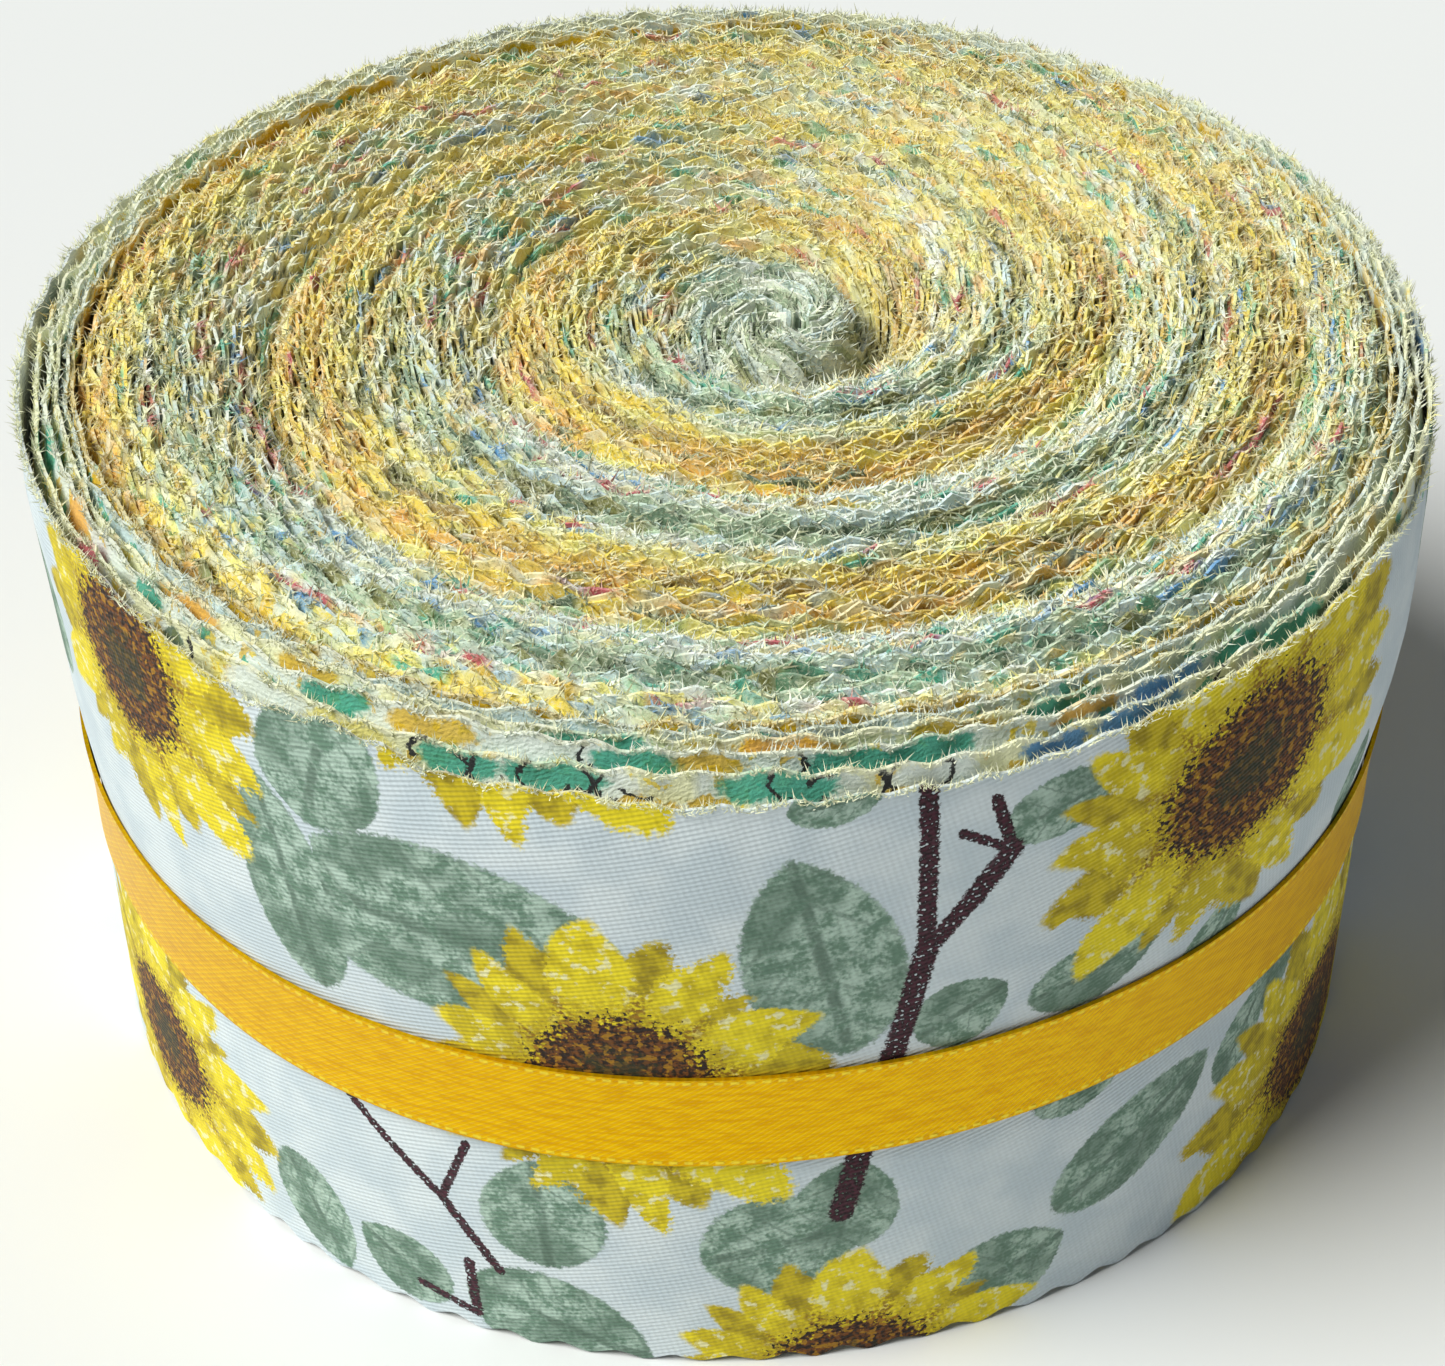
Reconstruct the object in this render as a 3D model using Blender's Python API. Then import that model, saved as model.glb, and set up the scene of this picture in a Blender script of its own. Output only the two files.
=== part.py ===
"""A jelly roll: about forty printed cotton strips, 63.5 mm wide with pinked edges, folded double, laid in one
stack and rolled up together, with a narrow satin ribbon drawn round the waist.

Metres, +Z up. The roll stands on its lower edges at Z = 0 with its axis on Z, and its front faces -Y.
An angle runs from the front (-Y) towards the right (+X), in radians.
"""

import math

import bpy
import numpy as np

# The roll
STRIP_WIDTH = 0.0635
TOP_RADIUS = 0.0595
BOTTOM_RADIUS = 0.0575
RIM_FRONT_HEIGHT = 0.0602  # the outermost turns have slipped down a little at the front
RIM_BACK_HEIGHT = 0.0634
SLOPE_RADIUS = 0.0505  # outside it the turns step down to the rim
LOWER_EDGE_LIFT = 0.0008  # the outermost turns clear what the roll stands on by this
LOWER_EDGE_INSET = 0.0030

# The winding, seen from above: the stack of folded strips takes three and a third turns about an eye that
# lies beside the roll's axis, and the turns half way out stand a little behind it.
STACK_THICKNESS = 0.0172  # the spiral's pitch
FIRST_GROOVE = 0.0098  # radius at the front of the innermost slack groove, between one turn and the next
MAIN_GROOVE_SHARE = 0.095  # half the main groove's width as a share of the stack
MINOR_GROOVES = 3  # softer grooves within the stack, where its layers have slid apart
EYE_X = 0.0050
EYE_Y = 0.0010
SWAY = 0.0030
HOLLOW_ANGLE = math.radians(55)  # the side of the core where the first turn stands open
HOLLOW_RADIUS = 0.0085
HOLLOW_SPREAD = 0.0020
HOLLOW_DEPTH = 0.0042
BASE_GROOVE_DEPTH = 0.0011
BASE_EYE_RADIUS = 0.0085
BASE_EYE_DEPTH = 0.0022

# From the eye out: how high the turns stand over the strip's width there, and how deep the grooves are.
WINDING_COLUMNS = ("radius", "rise", "main_groove", "minor_groove")
WINDING_ROWS = (
    (0.000, -0.0008, 0.0000, 0.0004),
    (0.008, -0.0002, 0.0008, 0.0008),
    (0.014, 0.0003, 0.0016, 0.0010),
    (0.022, -0.0002, 0.0024, 0.0007),
    (0.030, 0.0005, 0.0022, 0.0009),
    (0.040, 0.0002, 0.0028, 0.0006),
    (0.050, 0.0004, 0.0022, 0.0008),
    (0.056, -0.0002, 0.0012, 0.0004),
)

# The side: how far the winding strays from a true circle, and the loose fold over the ribbon on the right
STRAY_ROWS = (  # waves round the roll, their start in radians, their height
    (2, 0.6, 0.00035),
    (5, 1.9, 0.00018),
)
FOLD_ANGLE = math.radians(68)
FOLD_REACH = math.radians(22)
FOLD_HEIGHT = 0.0455
FOLD_SPREAD = 0.0090
FOLD_DEPTH = 0.0008

# The ribbon
RIBBON_WIDTH = 0.0095
RIBBON_THICKNESS = 0.0010
RIBBON_MIDDLE = 0.0283
RIBBON_TILT = 0.0186  # rise for each metre to the right
RIBBON_GAP = 0.0003
RIBBON_LAP = math.radians(22)  # the glued lap behind the roll
WAIST_DEPTH = 0.0006  # how far the ribbon draws the winding in
WAIST_SPREAD = 0.0070

# How finely the surfaces are cut
SIDES = 80
TOP_RINGS = 40
BASE_RINGS = 17
LOWER_ROWS = (0.35, 0.72)  # shares of the way from the lower edge to the ribbon
UPPER_ROWS = (0.25, 0.50, 0.72, 0.90)  # shares of the way from the ribbon to the rim
RIBBON_ROWS = (-0.5, 0.0, 0.5)  # shares of the ribbon's width from its middle

STRIP_COLOUR = (0.83, 0.84, 0.66)
RIBBON_COLOUR = (0.92, 0.50, 0.01)


def clear_scene():
    for old in list(bpy.data.objects):
        bpy.data.objects.remove(old, do_unlink=True)


def cloth(name, colour, roughness):
    """A Principled material of one colour, with no metal in it."""
    material = bpy.data.materials.new(name)
    material.use_nodes = True
    shader = material.node_tree.nodes["Principled BSDF"]
    shader.inputs["Base Color"].default_value = (*colour, 1.0)
    shader.inputs["Roughness"].default_value = roughness
    shader.inputs["Metallic"].default_value = 0.0
    return material


def smooth_step(share):
    share = np.clip(share, 0.0, 1.0)
    return share * share * (3.0 - 2.0 * share)


def ribbon_height(angle, across):
    """Height of the ribbon where across is a share of its width from its middle."""
    return RIBBON_MIDDLE + RIBBON_TILT * BOTTOM_RADIUS * np.sin(angle) + across * RIBBON_WIDTH


def side_radius(angle, height):
    """Radius of the winding's side: it widens towards the top, is drawn in by the ribbon, strays in slow
    waves round the roll and stands out in one loose fold over the ribbon.
    """
    flare = (TOP_RADIUS - BOTTOM_RADIUS) * (height / STRIP_WIDTH) ** 2
    from_ribbon = (height - ribbon_height(angle, 0.0)) / WAIST_SPREAD
    waist = WAIST_DEPTH * np.exp(-(from_ribbon**2))
    stray = sum(size * np.cos(waves * angle + start) for waves, start, size in STRAY_ROWS)
    round_it = (np.mod(angle - FOLD_ANGLE + math.pi, 2 * math.pi) - math.pi) / FOLD_REACH
    up_it = (height - FOLD_HEIGHT) / FOLD_SPREAD
    fold = FOLD_DEPTH * np.exp(-(round_it**2) - up_it**2)
    return BOTTOM_RADIUS + flare - waist + stray + fold


def rim_height(angle):
    """Top edge of the outermost turn: lowest at the front, level with the rest at the back."""
    middle = (RIM_FRONT_HEIGHT + RIM_BACK_HEIGHT) / 2
    return middle - (RIM_BACK_HEIGHT - RIM_FRONT_HEIGHT) / 2 * np.cos(angle)


def stack_turn(angle, radius):
    """How many turns of the stack lie inside this place: whole in the slack groove between two turns."""
    return (radius - FIRST_GROOVE) / STACK_THICKNESS - angle / (2 * math.pi)


def main_groove(turn):
    """1 along the middle of the slack groove, falling off as a bell over its half width."""
    off = np.abs(turn - np.round(turn)) / MAIN_GROOVE_SHARE
    return np.exp(-(off**2))


def top_height(angle, radius):
    """Height of the wound edges: the strip's width, the rise at this radius and the spiral grooves, and over
    the last turns a slope down to the rim.
    """
    winding = dict(zip(WINDING_COLUMNS, zip(*WINDING_ROWS)))
    rise, main, minor = (np.interp(radius, winding["radius"], winding[name]) for name in WINDING_COLUMNS[1:])
    turn = stack_turn(angle, radius)
    grooves = main * main_groove(turn) + minor * (0.5 - 0.5 * np.cos(2 * math.pi * MINOR_GROOVES * turn))
    open_side = 0.5 + 0.5 * np.cos(angle - HOLLOW_ANGLE)
    hollow = HOLLOW_DEPTH * open_side**2 * np.exp(-(((radius - HOLLOW_RADIUS) / HOLLOW_SPREAD) ** 2))
    wound_top = STRIP_WIDTH + rise - grooves - hollow
    down = smooth_step((radius - SLOPE_RADIUS) / (TOP_RADIUS - SLOPE_RADIUS))
    return wound_top + (rim_height(angle) - wound_top) * down


def base_height(angle, radius):
    """Height of the lower edges: flat where the roll stands, with the spiral groove and an open eye."""
    groove = BASE_GROOVE_DEPTH * main_groove(stack_turn(angle, radius))
    groove = np.where(groove > 0.1 * BASE_GROOVE_DEPTH, groove, 0.0)
    eye = BASE_EYE_DEPTH * (1.0 - smooth_step(radius / BASE_EYE_RADIUS))
    edge = smooth_step((radius - BOTTOM_RADIUS + LOWER_EDGE_INSET) / LOWER_EDGE_INSET)
    return np.maximum(groove * (1.0 - edge), np.maximum(eye, LOWER_EDGE_LIFT * edge))


def ring(angle, radius, height, share):
    """One closed row of points. Its centre moves from the axis, at share 1, to the eye, at share 0."""
    inward = 1.0 - share
    x = radius * np.sin(angle) + inward * EYE_X
    y = -radius * np.cos(angle) + inward * (EYE_Y + 4.0 * share * SWAY)
    return np.stack([x, y, height], axis=1)


def closed_skin(name, rings, first_end, last_end, material):
    """A mesh through rings of points from first_end to last_end, both single points on the axis side."""
    count = len(rings[0])
    points = np.concatenate([[first_end], *rings, [last_end]])
    here = np.arange(count)
    after = np.roll(here, -1)
    faces = [(0, 1 + a, 1 + b) for a, b in zip(here, after)]
    for row in range(len(rings) - 1):
        low, high = 1 + row * count, 1 + (row + 1) * count
        faces += [(low + a, high + a, high + b, low + b) for a, b in zip(here, after)]
    low, end = 1 + (len(rings) - 1) * count, len(points) - 1
    faces += [(low + a, end, low + b) for a, b in zip(here, after)]
    return mesh_object(name, points, faces, material)


def mesh_object(name, points, faces, material):
    mesh = bpy.data.meshes.new(name)
    mesh.from_pydata([tuple(map(float, point)) for point in points], [], faces)
    mesh.shade_smooth()
    mesh.set_sharp_from_angle(angle=math.radians(50))
    mesh.materials.append(material)
    made = bpy.data.objects.new(name, mesh)
    bpy.context.scene.collection.objects.link(made)
    return made


def side_rows(angle):
    """Heights of the side's rows from the rim down to the lower edge, with rows along the ribbon's edges."""
    top = rim_height(angle)
    over, under = ribbon_height(angle, RIBBON_ROWS[-1]), ribbon_height(angle, RIBBON_ROWS[0])
    rows = [over + (top - over) * share for share in reversed(UPPER_ROWS)]
    rows += [ribbon_height(angle, across) for across in reversed(RIBBON_ROWS)]
    rows += [LOWER_EDGE_LIFT + (under - LOWER_EDGE_LIFT) * share for share in reversed(LOWER_ROWS)]
    return rows


def strip_roll(material):
    """The wound strips: rings from the eye out over the top edges, down the side and back under to the eye."""
    angle = np.arange(SIDES) * 2 * math.pi / SIDES
    rings = []
    rim = side_radius(angle, rim_height(angle))
    for share in np.arange(1, TOP_RINGS + 1) / TOP_RINGS:
        radius = rim * share
        rings.append(ring(angle, radius, top_height(angle, radius), share))
    for height in side_rows(angle):
        rings.append(ring(angle, side_radius(angle, height), height, 1.0))
    foot = side_radius(angle, LOWER_EDGE_LIFT)
    for share in np.arange(BASE_RINGS, 0, -1) / BASE_RINGS:
        radius = foot * share
        rings.append(ring(angle, radius, base_height(angle, radius), share))
    eye_top = (EYE_X, EYE_Y, STRIP_WIDTH + WINDING_ROWS[0][1])
    eye_base = (EYE_X, EYE_Y, BASE_EYE_DEPTH)
    return closed_skin("strip_roll", rings, eye_top, eye_base, material)


def ribbon(material):
    """The satin band: one strip carried round the waist, whose last end lies on its first behind the roll."""
    step = 2 * math.pi / SIDES
    lap_steps = round(RIBBON_LAP / step)
    steps = np.arange(SIDES + lap_steps + 1)
    angle = math.pi - RIBBON_LAP / 2 + steps * step
    onto = smooth_step((steps - SIDES + 2) / 2)
    lift = RIBBON_GAP + onto * (RIBBON_THICKNESS + RIBBON_GAP)
    outline = []
    for across, thickness in [(row, 0.0) for row in RIBBON_ROWS] + [
        (row, RIBBON_THICKNESS) for row in reversed(RIBBON_ROWS)
    ]:
        height = ribbon_height(angle, across)
        radius = side_radius(angle, height) + lift + thickness
        outline.append(ring(angle, radius, height, 1.0))
    rows, length = len(outline), len(steps)
    points = np.concatenate(outline)
    faces = []
    for row in range(rows):
        beside = (row + 1) % rows
        faces += [
            (row * length + k, beside * length + k, beside * length + k + 1, row * length + k + 1)
            for k in range(length - 1)
        ]
    faces.append(tuple(row * length for row in reversed(range(rows))))
    faces.append(tuple(row * length + length - 1 for row in range(rows)))
    return mesh_object("ribbon", points, faces, material)


clear_scene()
strip_roll(cloth("printed_cotton", STRIP_COLOUR, 0.9))
ribbon(cloth("satin_ribbon", RIBBON_COLOUR, 0.35))
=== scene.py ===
import math

import bpy
import numpy as np
from mathutils import Matrix, Vector


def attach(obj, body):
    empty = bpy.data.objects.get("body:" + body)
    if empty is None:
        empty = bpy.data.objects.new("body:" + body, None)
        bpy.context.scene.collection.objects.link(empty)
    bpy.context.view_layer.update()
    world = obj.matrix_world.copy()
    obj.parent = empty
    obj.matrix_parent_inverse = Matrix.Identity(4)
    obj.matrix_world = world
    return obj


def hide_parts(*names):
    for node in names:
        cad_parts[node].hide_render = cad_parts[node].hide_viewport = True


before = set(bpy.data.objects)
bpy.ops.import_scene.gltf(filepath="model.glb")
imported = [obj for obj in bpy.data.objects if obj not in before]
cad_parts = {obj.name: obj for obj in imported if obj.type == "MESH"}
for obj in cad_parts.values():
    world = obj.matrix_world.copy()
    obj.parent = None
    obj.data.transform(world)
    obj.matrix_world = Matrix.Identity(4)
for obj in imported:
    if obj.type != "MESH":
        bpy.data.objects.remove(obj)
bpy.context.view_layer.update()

# The form that every turn of the roll lies in. About forty strips of cotton, folded double, are laid in
# one stack and rolled up from one end, so the stack's thickness is the pitch of the spiral that shows on
# top. The sizes are those of the solid roll, in millimetres, and angles run from the front to the right.
MM = 0.001
STRIP_WIDTH = 63.5
TOP_RADIUS = 59.5
BOTTOM_RADIUS = 57.5
RIM_FRONT_HEIGHT = 60.2
RIM_BACK_HEIGHT = 63.4
SLOPE_RADIUS = 50.5
STACK_THICKNESS = 17.2
FIRST_GROOVE = 9.8
MAIN_GROOVE_SHARE = 0.095
MINOR_GROOVES = 3
EYE = (5.0, 1.0)
SWAY = 3.0
HOLLOW_ANGLE, HOLLOW_RADIUS, HOLLOW_SPREAD, HOLLOW_DEPTH = math.radians(55), 8.5, 2.0, 4.2
WINDING = {
    "radius": (0, 8, 14, 22, 30, 40, 50, 56),
    "rise": (-0.8, -0.2, 0.3, -0.2, 0.5, 0.2, 0.4, -0.2),
    "main_groove": (0.0, 0.8, 1.6, 2.4, 2.2, 2.8, 2.2, 1.2),
    "minor_groove": (0.4, 0.8, 1.0, 0.7, 0.9, 0.6, 0.8, 0.4),
}
STRAY = ((2, 0.6, 0.35), (5, 1.9, 0.18))
FOLD_ANGLE, FOLD_REACH = math.radians(68), math.radians(22)
FOLD_HEIGHT, FOLD_SPREAD, FOLD_DEPTH = 45.5, 9.0, 0.8
RIBBON_MIDDLE, RIBBON_TILT, RIBBON_WIDTH = 28.3, 0.0186, 9.5
WAIST_DEPTH, WAIST_SPREAD = 0.6, 7.0


def smooth_step(share):
    share = np.clip(share, 0.0, 1.0)
    return share * share * (3.0 - 2.0 * share)


def ribbon_height(angle, across):
    """The ribbon's middle height, plus its tilt times the way to the right, plus across times its width."""
    return RIBBON_MIDDLE + RIBBON_TILT * BOTTOM_RADIUS * np.sin(angle) + across * RIBBON_WIDTH


def side_radius(angle, height):
    """Bottom radius, plus a flare with the square of height, less a bell-shaped waist under the ribbon,
    plus two slow waves round the roll and one bell-shaped fold above the ribbon on the right.
    """
    flare = (TOP_RADIUS - BOTTOM_RADIUS) * (height / STRIP_WIDTH) ** 2
    waist = WAIST_DEPTH * np.exp(-(((height - ribbon_height(angle, 0.0)) / WAIST_SPREAD) ** 2))
    stray = sum(size * np.cos(waves * angle + start) for waves, start, size in STRAY)
    round_it = (np.mod(angle - FOLD_ANGLE + math.pi, 2 * math.pi) - math.pi) / FOLD_REACH
    up_it = (height - FOLD_HEIGHT) / FOLD_SPREAD
    return BOTTOM_RADIUS + flare - waist + stray + FOLD_DEPTH * np.exp(-(round_it**2) - up_it**2)


def rim_height(angle):
    """The mean of the front and back heights, less half their difference times the cosine of the angle."""
    middle = (RIM_FRONT_HEIGHT + RIM_BACK_HEIGHT) / 2
    return middle - (RIM_BACK_HEIGHT - RIM_FRONT_HEIGHT) / 2 * np.cos(angle)


def top_height(angle, radius):
    """The strip's width plus the rise at this radius, less a bell-shaped groove where a whole number of
    turns of the stack lie inside, less three cosine grooves a turn and the hollow by the eye, then down to
    the rim.
    """
    rise, main, minor = (np.interp(radius, WINDING["radius"], WINDING[name]) for name in list(WINDING)[1:])
    turn = (radius - FIRST_GROOVE) / STACK_THICKNESS - angle / (2 * math.pi)
    off = (turn - np.round(turn)) / MAIN_GROOVE_SHARE
    grooves = main * np.exp(-(off**2)) + minor * (0.5 - 0.5 * np.cos(2 * math.pi * MINOR_GROOVES * turn))
    open_side = 0.5 + 0.5 * np.cos(angle - HOLLOW_ANGLE)
    hollow = HOLLOW_DEPTH * open_side**2 * np.exp(-(((radius - HOLLOW_RADIUS) / HOLLOW_SPREAD) ** 2))
    down = smooth_step((radius - SLOPE_RADIUS) / (TOP_RADIUS - SLOPE_RADIUS))
    wound = STRIP_WIDTH + rise - grooves - hollow
    return wound + (rim_height(angle) - wound) * down


def place(share, angle, height, out):
    """Points at a share of the side's radius, and out millimetres further, about a centre that runs from
    the axis at share 1 to the eye at share 0 and sways to the back on the way.
    """
    radius = share * side_radius(angle, height) + out
    x = radius * np.sin(angle) + (1 - share) * EYE[0]
    y = -radius * np.cos(angle) + (1 - share) * (EYE[1] + 4 * share * SWAY)
    return np.stack(np.broadcast_arrays(x, y, height), axis=-1)


# The folded strips of the stack. Each is printed cotton twill, cut 2.5 inch wide with a pinking blade, so
# both edges run in small teeth that have frayed white. Every layer is a real strip from the roll's foot to
# its top, and is held only by the winding.
TOOTH = 4.7
TOOTH_DEPTH = 0.9
SAMPLES_A_TOOTH = 4
LAYERS = 54
CLOTH = 0.25
CORE_RADIUS = 1.4
STACK_REACH = 55.6
ROOT = 2.4
HOLLOW_DROP = 4.0
LEAN_FROM = 44.0
LEAN_IN = 1.6


def paint(code):
    """A colour written as six hex digits, as linear red, green and blue."""
    shown = np.array([int(code[k:k + 2], 16) for k in (0, 2, 4)]) / 255
    return np.where(shown <= 0.04045, shown / 12.92, ((shown + 0.055) / 1.055) ** 2.4)


PAINT = {name: paint(code) for name, code in {
    "white": "E8F1EA", "cream": "F2F3C8", "sage": "BBD0B2", "mist": "CBE0E4", "lemon": "F2E680",
    "yellow": "F0D428", "gold": "DCB616", "ochre": "A0800C", "orange": "F0B63A", "peach": "F2DEA8",
    "teal": "1EA78C", "blue": "4894D0", "red": "C0304A", "olive": "7C7A1E", "black": "26282A",
    "leaf": "6F8F72", "moss": "4F6B4C", "thread": "F9F9DE",
}.items()}

# From the inside of the stack to its outside: each strip's ground, the colour of its motifs, the share of
# the edge that they take up, and the colour of its small specks.
PRINTS = (
    ("sage", "moss", 0.45, "olive"),
    ("mist", "sage", 0.40, "teal"),
    ("white", "lemon", 0.30, "moss"),
    ("lemon", "white", 0.40, "red"),
    ("cream", "gold", 0.30, "blue"),
    ("lemon", "sage", 0.40, "olive"),
    ("cream", "yellow", 0.45, "teal"),
    ("lemon", "yellow", 0.60, "ochre"),
    ("yellow", "gold", 0.50, "olive"),
    ("gold", "ochre", 0.45, "olive"),
    ("yellow", "orange", 0.50, "ochre"),
    ("gold", "yellow", 0.45, "olive"),
    ("orange", "peach", 0.50, "red"),
    ("yellow", "gold", 0.50, "moss"),
    ("peach", "lemon", 0.55, "orange"),
    ("lemon", "white", 0.50, "gold"),
    ("white", "peach", 0.45, "teal"),
    ("white", "mist", 0.40, "teal"),
    ("cream", "white", 0.50, "red"),
    ("white", "sage", 0.40, "blue"),
    ("mist", "white", 0.50, "teal"),
    ("white", "lemon", 0.35, "gold"),
    ("cream", "peach", 0.45, "teal"),
    ("white", "mist", 0.50, "red"),
    ("sage", "white", 0.50, "teal"),
    ("mist", "sage", 0.45, "blue"),
    ("leaf", "olive", 0.45, "moss"),
)
SPECKLED = 0.13
PETAL_COLOURS = ("yellow", "gold", "lemon", "orange", "lemon", "yellow")
COOL_COLOURS = ("mist", "sage", "teal", "white", "mist", "blue")
CORE_COLOURS = ("sage", "white", "mist", "leaf", "white")
WAVES = 5


def wander(along, seed):
    """Smooth wandering of about -1 to 1: a sum of sines of unlike lengths, each from a phase of its own."""
    draw = np.random.default_rng(seed)
    rates, starts = draw.uniform(0.5, 2.3, WAVES), draw.uniform(0, 2 * math.pi, WAVES)
    return sum(np.sin(along * rate + start) for rate, start in zip(rates, starts)) * (1.6 / WAVES)


def tooth_drop(sample, depth, samples_a_tooth):
    """Depth times how far a sample is from the nearest tip, as a share of half a tooth, with blunt tips."""
    off = np.abs(np.mod(sample / samples_a_tooth + 0.5, 1.0) - 0.5) * 2
    return depth * np.clip(off * 1.25 - 0.12, 0.0, 1.0)


def band_faces(runs, steps, around):
    """Outward quads of closed bands: runs of them, each of steps closed rows, with ladders over both ends."""
    run, step, side = np.meshgrid(np.arange(runs), np.arange(steps - 1), np.arange(around), indexing="ij")
    here = (run * steps + step) * around
    beside = (side + 1) % around
    skin = np.stack([here + side, here + around + side, here + around + beside, here + beside], axis=-1)
    rung = np.arange(around // 2 - 1)
    ladder = np.stack([rung, rung + 1, around - 2 - rung, around - 1 - rung], axis=-1)
    first = np.arange(runs)[:, None, None] * steps * around + ladder
    last = first[..., ::-1] + (steps - 1) * around
    quads = np.concatenate([skin.reshape(-1, 4), first.reshape(-1, 4), last.reshape(-1, 4)])
    return quads[:, ::-1]


def cloth_object(name, points, faces, colours=None, chart=None, sharp=60):
    """A mesh object from points in millimetres and faces of one size, with a colour and a place on the
    cloth's chart for each point.
    """
    size = faces.shape[1]
    mesh = bpy.data.meshes.new(name)
    mesh.vertices.add(len(points))
    mesh.vertices.foreach_set("co", (points * MM).astype(np.float32).ravel())
    mesh.loops.add(faces.size)
    mesh.loops.foreach_set("vertex_index", faces.astype(np.int32).ravel())
    mesh.polygons.add(len(faces))
    mesh.polygons.foreach_set("loop_start", np.arange(0, faces.size, size, dtype=np.int32))
    mesh.update(calc_edges=True)
    mesh.shade_smooth()
    mesh.set_sharp_from_angle(angle=math.radians(sharp))
    if colours is not None:
        layer = mesh.color_attributes.new("print", "FLOAT_COLOR", "POINT")
        shown = np.concatenate([colours, np.ones((len(colours), 1))], axis=1)
        layer.data.foreach_set("color", shown.astype(np.float32).ravel())
    if chart is not None:
        layer = mesh.uv_layers.new(name="cloth")
        layer.data.foreach_set("uv", chart[faces.ravel()].astype(np.float32).ravel())
    made = bpy.data.objects.new(name, mesh)
    bpy.context.scene.collection.objects.link(made)
    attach(made, "root")
    return made


def edge_colours(layer, along, tooth, rows, away, core, sunk_and_shaded):
    """Colours for rows of points from a strip's cut edge down: the print's ground, its motifs where a
    wandering value passes their share, a speck on the odd tooth, and all of it paler towards the frayed cut.
    Away from the front more yellow petals fall on the edge, and on the outer turns in front more leaves and
    blue ground. The core is grey-green, and the strips by the hollow are painted near black: painted shade in
    the hollow.
    """
    names = np.array([PRINTS[k] for k in layer % len(PRINTS)], dtype=object)
    ground, motif, speck = (np.array([PAINT[name] for name in names[:, k]])[:, None] for k in (0, 1, 3))
    share = names[:, 2].astype(float)[:, None]
    number = layer[:, None]
    patches = wander(along / 3.2 + number * 37.0, 11) + 0.45 * wander(along / 0.9 + number * 5.0, 12)
    laid = smooth_step((patches - (1.0 - 2.0 * share) * 0.8) / 0.25)[..., None]
    colour = ground * (1 - laid) + motif * laid
    draw = np.random.default_rng(7)
    chance = draw.random((len(layer), int(tooth.max()) + 2))
    specked = np.take_along_axis(chance, tooth, axis=1) < SPECKLED
    colour = np.where(specked[..., None], speck, colour)
    sunny = wander(along / 1.7 + number * 29.0, 14) + 1.25 * away**0.6 + 1.3 * away * (1 - away) - 0.95
    sunny = smooth_step(sunny / 0.3)[..., None]
    petal = np.array([PAINT[name] for name in PETAL_COLOURS])[layer % len(PETAL_COLOURS)]
    colour = colour + 0.85 * sunny * (1 - 0.7 * specked[..., None]) * (petal[:, None] - colour)
    outer = smooth_step((along / along.max() - 0.4) / 0.25)
    cool = wander(along / 2.1 + number * 17.0, 15) + 0.9 * outer * (1 - away) ** 2 - 0.98
    cool = smooth_step(cool / 0.3)[..., None]
    cooler = np.array([PAINT[name] for name in COOL_COLOURS])[layer % len(COOL_COLOURS)]
    colour = colour + 0.7 * cool * (cooler[:, None] - colour)
    heart = np.array([PAINT[name] for name in CORE_COLOURS])[layer % len(CORE_COLOURS)]
    colour = colour + 0.9 * core[..., None] * (heart[:, None] - colour)
    # Painted shade: the strips by the hollow turn near black.
    colour = colour + 0.92 * sunk_and_shaded[..., None] * (PAINT["moss"] * 0.4 - colour)
    tone = 1.14 + 0.10 * wander(along / 1.3 + number * 11.0, 13)[..., None]
    colour = np.clip(colour * tone, 0, 1)[:, :, None, :]
    pale = np.array(rows)[None, None, :, None]
    return colour * (1 - pale) + PAINT["white"] * pale


class Wire:
    """A node's output, so that sums of outputs and numbers can be written as sums."""

    def __init__(self, tree, socket=None):
        self.tree = tree
        self.socket = socket

    def node(self, kind, values=(), out=0, **settings):
        """One output of a new node: settings go first, then values or wires to its inputs, None for none."""
        made = self.tree.nodes.new("ShaderNode" + kind)
        for name, value in settings.items():
            setattr(made, name, value)
        for key, value in values.items() if isinstance(values, dict) else enumerate(values):
            if isinstance(value, Wire):
                self.tree.links.new(value.socket, made.inputs[key])
            elif value is not None:
                made.inputs[key].default_value = value
        return Wire(self.tree, made.outputs[out])

    def sum(self, operation, *values):
        return self.node("Math", values, operation=operation)

    def __add__(self, other):
        return self.sum("ADD", self, other)

    def __sub__(self, other):
        return self.sum("SUBTRACT", self, other)

    def __mul__(self, other):
        return self.sum("MULTIPLY", self, other)

    def __truediv__(self, other):
        return self.sum("DIVIDE", self, other)

    def __radd__(self, other):
        return self.sum("ADD", other, self)

    def __rsub__(self, other):
        return self.sum("SUBTRACT", other, self)

    def __rmul__(self, other):
        return self.sum("MULTIPLY", other, self)

    def of(self, operation, *others):
        """This value with one of the Math node's operations, such as SINE or LESS_THAN."""
        return self.sum(operation, self, *others)

    def smooth(self, low, high):
        """0 at low and 1 at high, with a soft start and end; low may be the larger."""
        return self.node("MapRange", (self, low, high, 0.0, 1.0), interpolation_type="SMOOTHSTEP")

    def tint(self, first, second):
        """The first colour where this is 0 and the second where it is 1."""
        values = {0: self, 6: full(first), 7: full(second)}
        return self.node("Mix", values, out=2, data_type="RGBA")

    def noise(self, scale, detail=2.0, rough=0.5, out=0):
        """Noise of about 0.3 to 0.7 over this vector, scale spots to one of its units."""
        values = {"Vector": self, "Scale": scale, "Detail": detail, "Roughness": rough}
        return self.node("TexNoise", values, out=out)


def full(colour):
    """A colour as a wire, or as four numbers."""
    return colour if isinstance(colour, Wire) else (*[float(part) for part in colour], 1.0)


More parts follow.
